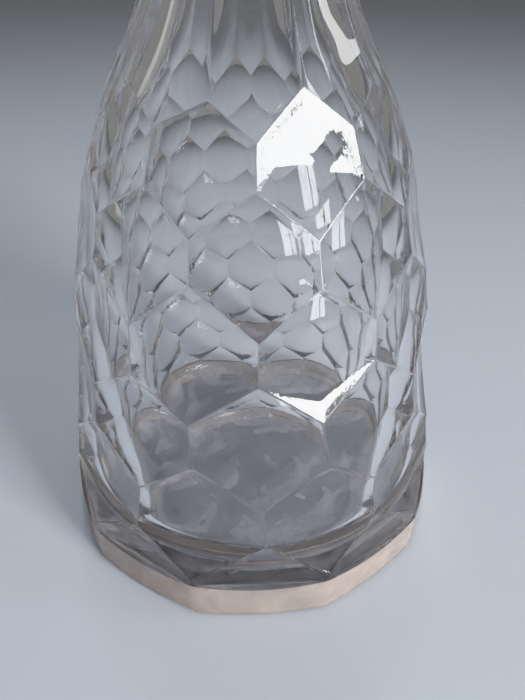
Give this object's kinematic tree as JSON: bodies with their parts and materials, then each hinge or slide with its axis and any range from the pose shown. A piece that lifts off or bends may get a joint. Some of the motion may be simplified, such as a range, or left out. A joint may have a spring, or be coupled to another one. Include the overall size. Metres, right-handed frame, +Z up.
{
  "type": "wine decanter",
  "caption": "Heavy cut-glass wine decanter with a honeycomb-faceted body, fluted neck, flared lip and a faceted ball stopper that lifts out.",
  "frame": {"origin": "centre of the foot, on the surface the decanter stands on", "axes": "+Z up along the axis of the bottle, -Y towards the front, where a facet column of the even rows faces"},
  "size_m": [0.121, 0.118, 0.2792],
  "materials": {
    "bottle_crystal": "wheel-cut and polished, ground inside the mouth, haze and light scratches at the foot",
    "stopper_crystal": "wheel-cut and polished ball, ground plug"
  },
  "bodies": {
    "bottle": {"decanter_body": "bottle_crystal"},
    "stopper": {"stopper": "stopper_crystal"}
  },
  "joints": [
    {"name": "stopper_lift", "type": "slide", "parent": "bottle", "child": "stopper", "axis": [0, 0, 1], "range_m": [0, 0.06]}
  ]
}
